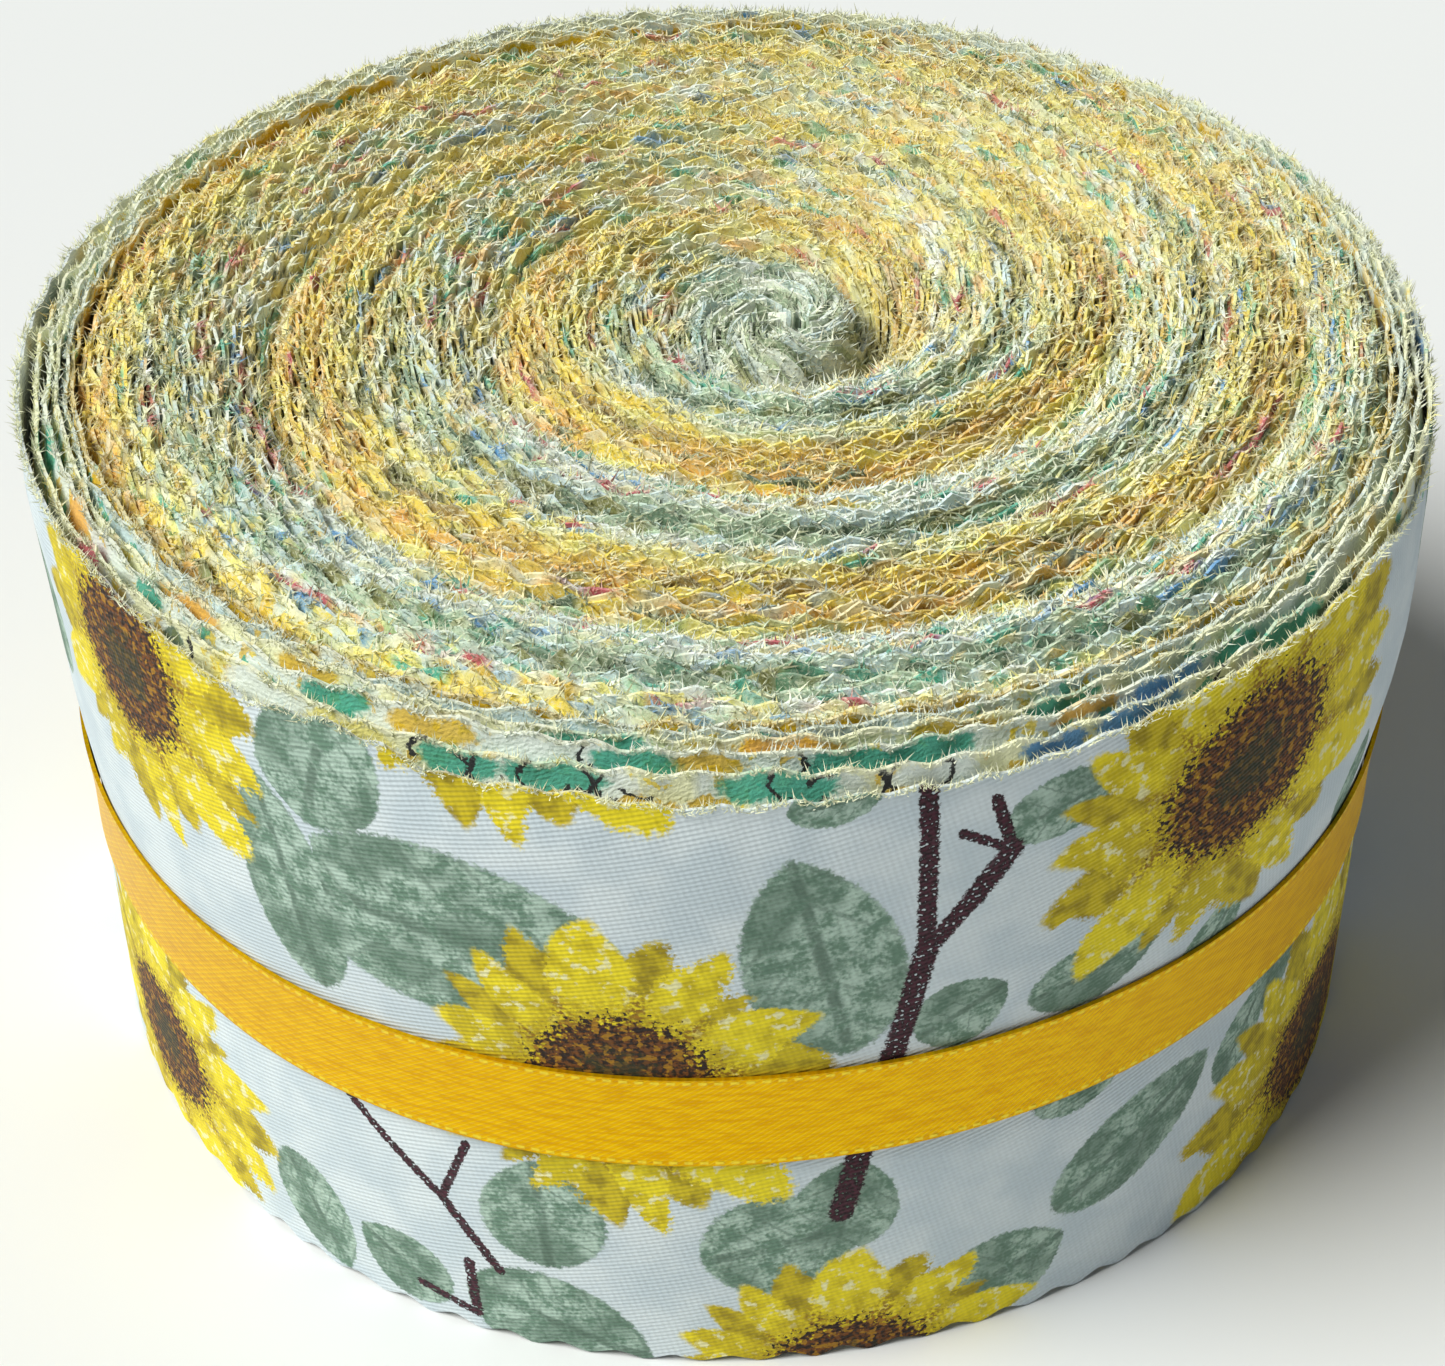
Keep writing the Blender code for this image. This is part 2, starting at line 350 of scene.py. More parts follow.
def new_material(name, **constants):
    """A Principled material, its constants set on their sockets, and a wire to start its nodes from."""
    made = bpy.data.materials.new(name)
    made.use_nodes = True
    shader = made.node_tree.nodes["Principled BSDF"]
    for key, value in constants.items():
        shader.inputs[key.replace("_", " ").title().replace("Ior", "IOR")].default_value = value
    return made, shader, Wire(made.node_tree)


def feed(shader, **wires):
    """Links each wire to the shader's input of that name."""
    for key, wire in wires.items():
        wire.tree.links.new(wire.socket, shader.inputs[key.replace("_", " ").title().replace("Ior", "IOR")])


cotton, shader, start = new_material("printed_cotton", roughness=0.92, sheen_weight=0.25, sheen_roughness=0.5)
here = start.node("TexCoord", out=3)
fluff = here.noise(1800.0, 3.0, 0.7)
blotch = here.noise(420.0, 2.0)
worn = (fluff - 0.5) * 0.55 + (blotch - 0.5) * 0.35 + 1.0
printed = start.node("Attribute", attribute_name="print")
worn = worn.node("CombineXYZ", (worn, worn, worn))
shaded = start.node("VectorMath", (printed, worn), operation="MULTIPLY")
bumped = start.node("Bump", {"Height": fluff, "Strength": 0.6, "Distance": 0.00025})
curled = {"Vector": here, "Scale": 1500.0, "Detail": 4.0, "Roughness": 0.7, "Distortion": 1.6}
lint = start.node("TexNoise", curled)
shaded = (lint.smooth(0.50, 0.62) * 0.6).tint(shaded, PAINT["thread"])
shaded = (lint.smooth(0.44, 0.36) * 0.45).tint(shaded, PAINT["olive"] * 0.5)
feed(shader, base_color=shaded, normal=bumped)

pitch = STACK_THICKNESS / (2 * math.pi)
inside = np.arange(LAYERS) * STACK_THICKNESS / LAYERS
quarter = TOOTH / SAMPLES_A_TOOTH
steps = int((STACK_REACH**2 - CORE_RADIUS**2) / (2 * pitch * quarter))
draw = np.random.default_rng(3)
slip = draw.uniform(-0.6, 0.6, LAYERS)[:, None]
first_step = np.ceil((CORE_RADIUS**2 - inside**2) / (2 * pitch * quarter))[:, None]
sample = first_step + np.arange(steps)[None, :]
arc = sample * quarter + slip
radius = np.sqrt(np.maximum(inside[:, None] ** 2 + 2 * pitch * arc, 0.25))
angle = (radius - inside[:, None]) / pitch
layer = np.arange(LAYERS)
lonely = layer[:, None] * 53.0

crown = top_height(angle, radius)
crown = crown + 0.3 * wander(arc / 9 + lonely, 21) + 0.22 * wander(arc / 1.9 + lonely, 22)
drop = tooth_drop(sample, TOOTH_DEPTH, SAMPLES_A_TOOTH)
together = np.stack([np.sin(angle), np.cos(angle)]) * radius
lean = 0.30 * wander(together[0] / 2.6 + together[1] / 3.9, 23) + 0.16 * wander(arc / 1.1 + lonely, 24)
foot = 0.25 + 0.25 * wander(arc / 9 + lonely, 25) + drop[:, ::-1] * 0.8
share = radius / side_radius(angle, rim_height(angle))
open_side = np.mod(angle - HOLLOW_ANGLE + math.pi, 2 * math.pi) - math.pi
# A bell round the hollow by the eye: it sinks the strips' tops there, and paints them near black as painted
# shade in the hollow.
sunk_and_shaded = np.exp(-((open_side / 0.95) ** 2) - ((radius - HOLLOW_RADIUS) / 2.1) ** 2)
crown = crown - HOLLOW_DROP * sunk_and_shaded
outer_turns = smooth_step((radius - LEAN_FROM) / (STACK_REACH - LEAN_FROM))
crown = crown + outer_turns * (STRIP_WIDTH - rim_height(angle)) / (STRIP_WIDTH - RIM_FRONT_HEIGHT)
lean = lean - LEAN_IN * outer_turns
tip = crown + 0.35 - drop + draw.normal(0, 0.16, crown.shape)
lean = lean + draw.normal(0, 0.13, crown.shape)
ROWS = (  # height, sideways lean and side of the cloth, round one strip's section
    (tip, lean, 0.5), (crown - ROOT, 0.4 * lean, 0.5), (foot, 0 * lean, 0.5),
    (foot, 0 * lean, -0.5), (crown - ROOT, 0.4 * lean, -0.5), (tip, lean, -0.5),
)
section = np.stack([place(share, angle, height, out + side * CLOTH) for height, out, side in ROWS], axis=2)
away = 0.5 - 0.5 * np.cos(angle)
core = 1.0 - smooth_step((radius - 6.5) / 3.0)
tooth_number = (sample - sample.min()).astype(int) // SAMPLES_A_TOOTH
shades = edge_colours(layer // 2, arc, tooth_number, (0.12, 0.0, 0.35, 0.35, 0.2, 0.2), away, core, sunk_and_shaded)
BUNDLES = 3
for bundle in range(BUNDLES):
    kept = slice(bundle * LAYERS // BUNDLES, (bundle + 1) * LAYERS // BUNDLES)
    count = LAYERS // BUNDLES
    folded = cloth_object(
        f"folded_strips_{bundle + 1}",
        section[kept].reshape(-1, 3),
        band_faces(count, steps, len(ROWS)),
        colours=shades[kept].reshape(-1, 3),
    )
    folded.data.materials.append(cotton)
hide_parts("strip_roll")

section_tips = section[:, :, 0] * 0.5 + section[:, :, 5] * 0.5

# The strips that close the roll: five cream, white and gold turns of printed cotton outside the stack. Their
# upper edges lean in over the stack one behind the other, so that a few millimetres of print show on the rim.
WRAP_STEP = 0.85
WRAP_RADIUS = 58.6
WRAPS = {  # from the inside out: ground, radius below, radius of the cut edge, share of the way to the crown
    "ground": ("gold", "mist", "cream", "white", "cream"),
    "below": (56.0, 56.6, 57.2, 57.8, 58.6),
    "above": (54.4, 55.0, 55.7, 56.5, 57.7),
    "lift": (1.0, 0.98, 0.94, 0.82, 0.52),
}
MIDDLE_HEIGHTS = (52.0, 40.0, 33.0, 28.3, 23.5, 14.0)
TURN_APART = 1000.0  # millimetres on the chart from one turn to the next
TURNS = len(WRAPS["ground"])
ROUND = 2 * math.pi * WRAP_RADIUS

columns = int(TURNS * ROUND / WRAP_STEP)
winding = np.linspace(0.0, TURNS, columns)
turn_number = np.minimum(winding.astype(int), TURNS - 1)
angle = (winding - turn_number) * 2 * math.pi - math.pi
arc = winding * ROUND
below, above, lift = (np.interp(winding - 0.5, np.arange(TURNS), WRAPS[key]) for key in list(WRAPS)[1:])
lift = lift * (STRIP_WIDTH - 0.1 - rim_height(angle))
lift = lift + 0.35 * wander(arc / 13, 30) + 0.14 * wander(arc / 1.6, 32)
drop = tooth_drop(arc + 1.6 * wander(arc / 7, 38), 0.6, TOOTH)
high = rim_height(angle) + lift - drop + 0.5
low = 0.5 + 0.3 * wander(arc / 11, 33) + tooth_drop(arc + 2.0, TOOTH_DEPTH, TOOTH)
share = below / side_radius(angle, rim_height(angle))
inward = above - below + 0.22 * wander(arc / 3.1, 34) + 0.08 * wander(arc / 0.9, 39)
WRAP_ROWS = (0.0, 0.5, 1.1, 1.9, 3.0, 4.4)
heights = [high - row for row in WRAP_ROWS]
heights += [np.full(columns, height) for height in MIDDLE_HEIGHTS] + [low]
leans = [inward * (1 - smooth_step(row / 5.5)) ** 1.3 for row in WRAP_ROWS]
leans += [0 * low] * (len(MIDDLE_HEIGHTS) + 1)
front = [place(share, angle, height, out + 0.13) for height, out in zip(heights, leans)]
rear = [place(share, angle, height, out - 0.13) for height, out in zip(heights, leans)]
section = np.stack(front + rear[::-1], axis=1)
colour = np.array([PAINT[name] for name in WRAPS["ground"]])[turn_number]
colour = colour * (1 + 0.05 * wander(arc / 4.0, 35)[:, None])
for name, seed, bar in (("lemon", 36, 0.9), ("gold", 44, 1.15), ("white", 45, 0.6)):
    blend = smooth_step((wander(arc / 1.9, seed) - bar) / 0.25)[:, None]
    colour = colour + blend * (PAINT[name] - colour)
wrap_edge = section[:, 0][None]
wrap_shades = np.clip(colour, 0, 1)[None]
level = np.concatenate([WRAP_ROWS, [8.0] * (len(MIDDLE_HEIGHTS) + 1)])
chart = np.stack(np.broadcast_arrays(
    (angle * WRAP_RADIUS + TURN_APART * turn_number)[:, None], np.concatenate([level, level[::-1]])[None, :]
), axis=-1)
wraps = cloth_object(
    "wrapping_strips",
    section.reshape(-1, 3),
    band_faces(1, columns, section.shape[1]),
    colours=np.repeat(np.clip(colour, 0, 1), section.shape[1], axis=0),
    chart=chart.reshape(-1, 2),
)

# Print that shows on the rim: turn, degrees from the front, millimetres below the cut edge, half width and
# half height in millimetres, and colour; then black curved outlines, each half of an oval, on the side that
# its last angle points to.
BLOTS = (
    (4, -36, 1.4, 4.0, 1.5, "white"), (4, -28, 1.3, 4.0, 1.4, "lemon"), (4, -16, 1.7, 5.0, 1.6, "white"),
    (4, -9, 1.7, 3.0, 1.5, "white"), (4, 6.5, 1.5, 3.0, 1.5, "white"), (4, 14, 1.6, 4.0, 1.5, "white"),
    (3, -14, 1.2, 5.0, 1.4, "white"), (3, -22, 1.2, 4.0, 1.2, "gold"), (3, -2, 1.0, 3.0, 1.0, "gold"),
    (3, 14, 1.0, 3.6, 1.4, "teal"), (2, -10, 0.8, 4.0, 1.2, "teal"), (2, 4, 0.8, 4.0, 1.0, "orange"),
    (2, 24, 0.8, 4.0, 1.2, "teal"), (3, -30, 1.0, 3.0, 1.4, "teal"), (2, -46, 1.0, 4.0, 1.4, "orange"),
    (4, -19.5, 1.2, 3.4, 1.5, "teal"), (4, -12.5, 1.0, 4.2, 1.3, "teal"), (3, -7, 1.4, 3.4, 1.5, "teal"),
    (4, 3.0, 1.1, 4.6, 1.6, "teal"), (3, 8, 1.4, 3.4, 1.6, "teal"), (4, -12.5, 2.9, 3.4, 0.8, "gold"),
    (4, -6, 2.9, 2.8, 0.8, "gold"), (4, -1.5, 2.6, 1.8, 0.7, "gold"), (4, 11.5, 2.6, 3.2, 0.7, "gold"),
    (4, 23, 1.2, 2.8, 1.4, "blue"), (4, 30, 0.9, 4.0, 1.6, "blue"), (3, 33, 0.9, 3.4, 1.6, "blue"),
    (4, 21, 2.9, 3.2, 0.8, "yellow"), (3, 40, 1.0, 2.6, 1.5, "teal"), (4, 45, 0.8, 4.2, 1.8, "teal"),
    (4, 37, 1.8, 1.8, 0.9, "moss"), (4, 50.5, 1.6, 2.8, 0.9, "moss"), (4, -45, 2.0, 1.5, 1.5, "moss"),
    (3, -50, 0.9, 2.0, 1.6, "teal"), (4, -58, 1.0, 2.0, 1.8, "red"), (3, -63, 1.0, 2.6, 1.8, "orange"),
    (3, -73, 1.0, 3.0, 1.8, "teal"), (2, -33, 1.0, 3.0, 1.2, "gold"), (2, 16, 0.6, 3.4, 1.0, "gold"),
    (3, 26, 0.5, 3.0, 0.8, "orange"), (4, 88, 1.0, 4.0, 1.6, "blue"), (3, 118, 1.2, 4.2, 1.6, "teal"),
    (4, 150, 1.2, 4.4, 1.6, "orange"), (3, 176, 1.2, 4.0, 1.6, "blue"), (4, -150, 1.2, 4.0, 1.5, "yellow"),
    (3, -120, 1.2, 4.2, 1.6, "teal"), (4, -96, 1.2, 3.8, 1.5, "moss"), (4, 60, 0.8, 3.0, 1.2, "lemon"),
)
OUTLINES = (
    (4, -22, 1.0, 1.4, 1.1, 200), (4, -17.5, 1.5, 1.3, 1.5, 160), (4, -14, 1.0, 1.2, 1.4, 200),
    (4, -11, 1.2, 1.5, 1.2, 20), (4, -8.5, 1.3, 1.2, 1.5, 150), (4, 3.5, 1.1, 1.3, 1.5, 180),
    (4, 6, 0.9, 1.0, 1.0, 250), (4, 9.5, 1.2, 1.3, 1.4, 10), (4, 14, 1.0, 1.6, 1.3, 20),
    (4, 38, 1.0, 1.5, 1.3, 200), (4, -44, 1.6, 1.2, 1.2, 30), (4, -15.5, 1.8, 0.9, 1.0, 100),
    (4, -12.5, 2.2, 1.1, 1.0, 60),
    (4, 5, 1.8, 1.4, 1.0, 80), (3, -10, 1.0, 1.2, 1.2, 170), (4, -19.5, 1.5, 1.0, 1.3, 330),
    (4, 11.5, 1.2, 1.1, 1.2, 200), (4, -6.5, 1.6, 1.3, 0.9, 100), (3, 4, 1.2, 1.2, 1.2, 20),
)
SCATTERED = ((0.30, 0.55, "white"), (0.37, 0.60, "gold"), (0.43, 0.62, "yellow"), (0.26, 0.63, "teal"))
cream_cloth, shader, start = new_material(
    "cream_twill", roughness=0.92, sheen_weight=0.2, sheen_roughness=0.5
)
chart_here = start.node("UVMap", uv_map="cloth")
spread = chart_here.noise(1.3, 3.0, 0.65, out=1)
spread = start.node("VectorMath", (spread, (-0.5, -0.5, -0.5)), operation="ADD")
spread = start.node("VectorMath", {0: spread, "Scale": 1.3}, operation="SCALE")
inked = start.node("VectorMath", (chart_here, spread), operation="ADD")
grain = chart_here.noise(2.4, 3.0, 0.6)
along_rib = start.node("SeparateXYZ", (chart_here,))
down_rib = start.node("SeparateXYZ", (chart_here,), out=1)
ribs = ((down_rib * 0.97 + along_rib * 0.26) * (2 * math.pi / 0.36)).of("SINE")


def seen_from(turn, degrees, down, wide, tall):
    """The chart as a spot on the rim sees it, from the spot's middle and in units of its size."""
    middle = (TURN_APART * turn + math.radians(degrees) * WRAP_RADIUS, down, 0.0)
    return start.node("Mapping", (inked, middle, (0, 0, 0), (wide, tall, 1.0)), vector_type="TEXTURE")


print_here = start.node("Attribute", attribute_name="print")
for scale, bar, name in SCATTERED:
    scattered = (inked.noise(scale, 2.0, 0.6) + (grain - 0.5) * 0.1).smooth(bar, bar + 0.03)
    print_here = (scattered * 0.85).tint(print_here, PAINT[name])
for turn, degrees, down, wide, tall, name in BLOTS:
    seen = seen_from(turn, degrees, down, wide, tall)
    reach = start.node("VectorMath", (seen,), out=1, operation="LENGTH")
    print_here = ((reach + (grain - 0.5) * 0.5).smooth(1.1, 0.8) * 0.9).tint(print_here, PAINT[name])
for turn, degrees, down, wide, tall, way in OUTLINES:
    seen = seen_from(turn, degrees, down, wide, tall)
    reach = start.node("VectorMath", (seen,), out=1, operation="LENGTH")
    toward = (math.cos(math.radians(way)), math.sin(math.radians(way)), 0.0)
    facing = start.node("VectorMath", (seen, toward), out=1, operation="DOT_PRODUCT")
    line = (reach - 0.85).of("ABSOLUTE").smooth(0.20, 0.10) * facing.smooth(0.0, 0.2)
    print_here = line.tint(print_here, PAINT["black"])
# Painted shade between the twill ribs, with random grain in the cloth's tone.
weave_shade_and_grain = 1.0 + ribs * 0.03 + (grain - 0.5) * 0.3
weave_shade_and_grain = weave_shade_and_grain.node("CombineXYZ", (weave_shade_and_grain, weave_shade_and_grain, weave_shade_and_grain))
print_here = start.node("VectorMath", (print_here, weave_shade_and_grain), operation="MULTIPLY")
frayed = (down_rib + (chart_here.noise(1.4, 3.0, 0.7) - 0.5) * 2.6).smooth(0.5, 0.0) * 0.6
print_here = frayed.tint(print_here, PAINT["thread"])
rim_bump = start.node("Bump", {"Height": ribs * 0.12 + grain * 3.0, "Strength": 0.6, "Distance": 0.0001})
feed(shader, base_color=print_here, normal=rim_bump)
wraps.data.materials.append(cream_cloth)
arc[-1] * MM

# The printed strip outside: one strip of white cotton twill with sunflowers, sage leaves and plum twigs,
# once round the roll and lapped over its own start behind. The ribbon holds it. Its chart runs in
# millimetres, across from the middle of the front and up from the foot, and the print is painted on that.
OUTER_STEP = 0.55
LAP = math.radians(25)
ACROSS = 58.5
EDGE = (  # degrees from the front and height of the cut edge
    (-180, 63.2), (-59.6, 63.0), (-54, 64.0), (-51, 63.2), (-45, 62.9), (-41, 62.0), (-36, 61.4), (-29, 62.6),
    (-24.5, 62.0), (-21, 60.8), (-16, 60.9), (-11.5, 61.1), (-3.6, 60.2), (9, 60.5), (18, 60.2), (27, 61.0),
    (40, 61.8), (48, 61.4), (56, 62.4), (64, 60.4), (90, 61.6), (205, 63.2),
)
columns = int((2 * math.pi + LAP) * ACROSS / OUTER_STEP)
angle = np.linspace(-math.pi, math.pi + LAP, columns)
arc = angle * ACROSS
high = np.interp(np.degrees(angle), *zip(*EDGE)) + 0.2 - tooth_drop(arc + 1.0, 0.45, TOOTH)
high += 0.12 * wander(arc / 0.8, 41)
low = 0.12 + tooth_drop(arc + 3.0, 0.7, TOOTH) + 0.10 * wander(arc / 1.1, 42)
shares = np.concatenate([[0.0, 0.012, 0.03], np.linspace(0.08, 0.92, 15), [0.965, 0.985, 1.0]])
heights = low[:, None] + (high - low)[:, None] * shares[None, :]
over = 0.36 * smooth_step((angle - math.radians(150)) / math.radians(28))[:, None]
ripple = 0.10 * wander(arc / 14, 43)[:, None] * smooth_step(shares * 3)[None, :]
drawn_in = -0.5 * smooth_step((heights - high[:, None] + 5.0) / 5.0)
outside = place(1.0, angle[:, None], heights, over + ripple + drawn_in)
inside_face = place(1.0, angle[:, None], heights, over + ripple + drawn_in - 0.28)
section = np.concatenate([outside[:, ::-1], inside_face], axis=1)
chart = np.stack(np.broadcast_arrays(
    arc[:, None], np.concatenate([heights[:, ::-1], heights], axis=1)
), axis=-1)
reverse = np.concatenate([np.zeros(len(shares)), np.ones(len(shares))])
reverse = np.repeat(reverse[None, :, None], columns, axis=0) * np.ones(3)
sunflower_strip = cloth_object(
    "sunflower_strip",
    section.reshape(-1, 3),
    band_faces(1, columns, section.shape[1]),
    colours=reverse.reshape(-1, 3),
    chart=chart.reshape(-1, 2),
)
outer_edge = outside[:, -1][None]

# The print, drawn on the chart: degrees from the front and height in millimetres of each middle, sizes in
# millimetres and turns in degrees. The same half of it is printed again behind.
FLOWERS = (  # degrees, height, half width, half height, turn
    (-50.5, 57.0, 16.5, 18.0, 10), (-59, 10.0, 19.5, 15.5, 0), (-8.5, 32.0, 17.5, 18.0, 8),
    (41, 51.5, 22.0, 18.0, 25), (9.2, -2.0, 18.0, 15.0, 0), (62, 8.0, 25.0, 18.0, 0),
    (-15.5, 71.5, 18.0, 17.0, 0), (92, 38, 14, 14, 60), (-90, 36, 14, 14, 60),
)
LEAVES = (  # degrees, height, half length, half width, turn
    (-20.5, 45, 14.5, 9.0, -4), (-30, 58.5, 7.0, 5.8, 75), (-34.5, 44.5, 11.0, 4.8, 100),
    (6.2, 45, 11.0, 6.4, 103), (17, 37, 4.2, 3.8, 30), (28, 37, 6.0, 3.6, 10), (24, 56, 5.5, 3.0, 15),
    (-15.4, 15.8, 6.2, 5.6, 95), (3.6, 14, 7.0, 6.0, 15), (8.4, 17.5, 5.5, 4.8, 80), (34, 15.5, 9.5, 4.8, 32),
    (46, 19, 5.0, 2.8, 55), (51, 25, 6.5, 3.6, 65), (-37, 6, 6.4, 4.0, -60), (-28, 5, 5.0, 3.8, 150),
    (-14.5, 3, 8.5, 5.6, -20), (22, 5.5, 6.2, 5.0, 20), (28, 24, 4.5, 2.6, 10), (-70, 50, 7.0, 4.6, 100),
    (-76, 34, 7.0, 4.6, 60), (-84, 20, 7.0, 4.2, 80), (76, 56, 7.0, 4.0, 70), (74, 30, 6.0, 3.6, 110),
    (-84, 5, 6.0, 3.6, 30), (40, 33.5, 5.5, 2.8, 60), (7, 60, 3.6, 2.0, 10), (60, 37, 5.0, 2.8, 80),
)
TWIGS = (  # first degrees and height, last degrees and height, half thickness
    (8.1, 17, 11.9, 34, 1.1), (11.9, 34, 13.8, 44.5, 1.0), (13.8, 44.5, 13.4, 61, 0.75),
    (13.8, 44.5, 17.2, 49, 0.85), (17.2, 49, 19.8, 53, 1.0), (19.8, 53, 18.4, 58, 0.5),
    (19.8, 53, 16.0, 55.6, 0.45), (-33.5, 24, -23.8, 15, 0.45), (-23.8, 15, -19.2, 8.0, 0.5),
    (-23.8, 15, -21.3, 21.8, 0.4), (-21.9, 8, -21.5, 2, 0.5), (-21.5, 2, -26.5, 3.4, 0.45),
    (72, 34, 80, 20, 0.6), (80, 20, 78, 8, 0.5),
)
TURN_ACROSS = math.pi * ACROSS


def around(degrees):
    """Degrees from the front as millimetres across on the chart."""
    return math.radians(degrees) * ACROSS


printed_cloth, shader, start = new_material(
    "sunflower_twill", roughness=0.9, sheen_weight=0.05, sheen_roughness=0.5
)
chart_here = start.node("UVMap", uv_map="cloth")
parts = start.node("SeparateXYZ", (chart_here,))
across = parts.of("WRAP", -0.5 * TURN_ACROSS, 0.5 * TURN_ACROSS)
high_here = start.node("SeparateXYZ", (chart_here,), out=1)
flat_here = start.node("CombineXYZ", (across, high_here, 0.0))
ribs = ((high_here * 0.966 - across * 0.259) * (2 * math.pi / 0.42)).of("SINE")
weft = ((across * 0.966 + high_here * 0.259) * (2 * math.pi / 0.5)).of("SINE")

# Ink that has run a little: every shape is looked up a fraction of a millimetre away from where it is.
jag = flat_here.noise(2.4, 2.0, 0.6, out=1)
jag = start.node("VectorMath", (jag, (-0.5, -0.5, -0.5)), operation="ADD")
jag = start.node("VectorMath", {0: jag, "Scale": 0.55}, operation="SCALE")
inked = start.node("VectorMath", (flat_here, jag), operation="ADD")
grain = flat_here.noise(2.6, 2.0)
mottle = flat_here.noise(0.55, 3.0)
broad = flat_here.noise(0.16, 2.0)


def nearest(shapes):
    """The chart as a shape sees it, from its own middle, turned and in units of its size, for the shape of
    these that is nearest in such units; and how far away its middle is.
    """
    best, best_reach = None, None
    for degrees, height, width, tall, turn in shapes:
        place_of = (around(degrees), height, 0.0)
        values = (inked, place_of, (0, 0, math.radians(turn)), (width, tall, 1.0))
        seen = start.node("Mapping", values, vector_type="TEXTURE")
        reach = start.node("VectorMath", (seen,), out=1, operation="LENGTH")
        if best is None:
            best, best_reach = seen, reach
            continue
        closer = reach.of("LESS_THAN", best_reach)
        best = start.node("Mix", {0: closer, 4: best, 5: seen}, out=1, data_type="VECTOR")
        best_reach = best_reach.of("MINIMUM", reach)
    return best, best_reach


ground = broad.smooth(0.35, 0.65).tint(paint("CAD7DE"), paint("DAE4E8"))

# Leaves: an oval drawn to a point, a midrib and side veins, and sage that is darker in blotches.
seen, reach = nearest(LEAVES)
along = start.node("SeparateXYZ", (seen,))
beside = start.node("SeparateXYZ", (seen,), out=1)
off = beside.of("ABSOLUTE")
shape = 1.0 - along * along - off * (0.45 + along * 0.25) - off * off * 0.6
leaf = (shape + (grain - 0.5) * 0.25).smooth(0.0, 0.10)
midrib = (off - 0.01).smooth(0.11, 0.03)
side_vein = ((along * 2.6 + off * 1.5).of("FRACT") - 0.5).of("ABSOLUTE").smooth(0.10, 0.02)
side_vein = side_vein * off.smooth(0.02, 0.2)
vein = (midrib + side_vein * 0.6) * mottle.smooth(0.35, 0.6)
sage = (mottle + (grain - 0.5) * 0.6).smooth(0.33, 0.66).tint(paint("5F826B"), paint("B2CABA"))
sage = (broad.smooth(0.44, 0.62) * 0.7).tint(sage, paint("4C6E58"))
sage = (vein * 0.85).tint(sage, paint("44634E"))
sage = (shape.smooth(0.16, 0.0) * 0.35).tint(sage, paint("5F7F68"))
print_here = (leaf * 0.95).tint(ground, sage)

# Twigs: straight runs with round ends, broken plum and nearly black.
twig = None
for first, first_height, last, last_height, half in TWIGS:
    run = (around(last) - around(first), last_height - first_height)
    length = math.hypot(*run)
    slope = math.atan2(run[1], run[0])
    values = (inked, (around(first), first_height, 0.0), (0, 0, slope), (half, half, 1.0))
    seen = start.node("Mapping", values, vector_type="TEXTURE")
    onward = start.node("SeparateXYZ", (seen,))
    aside = start.node("SeparateXYZ", (seen,), out=1)
    past = onward - onward.of("MAXIMUM", 0.0).of("MINIMUM", length / half)
    near = (past * past + aside * aside).of("SQRT")
    twig = near if twig is None else twig.of("MINIMUM", near)
bark = (twig + (grain - 0.5) * 0.9).smooth(1.1, 0.85) * (grain + ribs * 0.05).smooth(0.30, 0.40)
plum = grain.smooth(0.4, 0.62).tint(paint("1C0810"), paint("4A1C2C"))
print_here = (bark * (0.88 + mottle * 0.30)).of("MINIMUM", 1.0).tint(print_here, plum)

# Sunflowers: two rings of pointed petals, the back one half a petal on, round a stippled brown middle.
PETALS = 10
seen, reach = nearest(FLOWERS)
along = start.node("SeparateXYZ", (seen,))
beside = start.node("SeparateXYZ", (seen,), out=1)
spin = beside.of("ARCTAN2", along) * (PETALS / (2 * math.pi))
spin = spin + (seen.noise(1.3, 1.0) - 0.5) * 1.2


def petal_ring(shift, outer_reach, ink):
    """How far inside a ring of petals this is, how near the gap between two from 0 to 1, and a number of 0
    to 1 that is the petal's own.
    """
    beat = (spin + shift).of("FRACT") - 0.5
    gap = beat.of("ABSOLUTE") * 2.0
    number = (spin + shift).of("FLOOR")
    unlike = start.node("TexWhiteNoise", {"W": number + ink}, noise_dimensions="1D")
    edge = outer_reach * (0.86 + unlike * 0.18) - gap.of("POWER", 1.3) * 0.43
    return edge - reach, gap, unlike


back_in = petal_ring(0.5, 0.95, 3.0)[0]
front_in, front_gap, front_unlike = petal_ring(0.0, 1.0, 8.0)
lit = flat_here.noise(0.8, 3.0, 0.6)
yellow = (mottle + (front_unlike - 0.5) * 0.25).smooth(0.34, 0.62).tint(paint("CDB80A"), paint("F0DC1C"))
yellow = (lit.smooth(0.54, 0.63) * reach.smooth(0.4, 0.6) * 0.75).tint(yellow, paint("F2F0C4"))
ochre_in = (front_gap.smooth(0.55, 1.0) + reach.smooth(0.62, 0.38) * 0.8) * grain.smooth(0.36, 0.6)
yellow = (ochre_in * 0.75).of("MINIMUM", 1.0).tint(yellow, paint("94700A"))
dull = mottle.smooth(0.35, 0.6).tint(paint("A08C0A"), paint("D0BA14"))
print_here = back_in.smooth(-0.01, 0.04).tint(print_here, dull)
print_here = front_in.smooth(-0.01, 0.04).tint(print_here, yellow)
dots = flat_here.noise(1.9, 2.0, 0.6)
seeds = (reach + (dots - 0.5) * 0.45).smooth(0.42, 0.38)
brown = dots.smooth(0.42, 0.6).tint(paint("241206"), paint("74420E"))
brown = (flat_here.noise(1.3, 2.0).smooth(0.54, 0.60) * 0.8).tint(brown, paint("B07E10"))
brown = ((reach + (lit - 0.5) * 0.5).smooth(0.22, 0.12) * 0.7).tint(brown, paint("27331A"))
print_here = seeds.tint(print_here, brown)
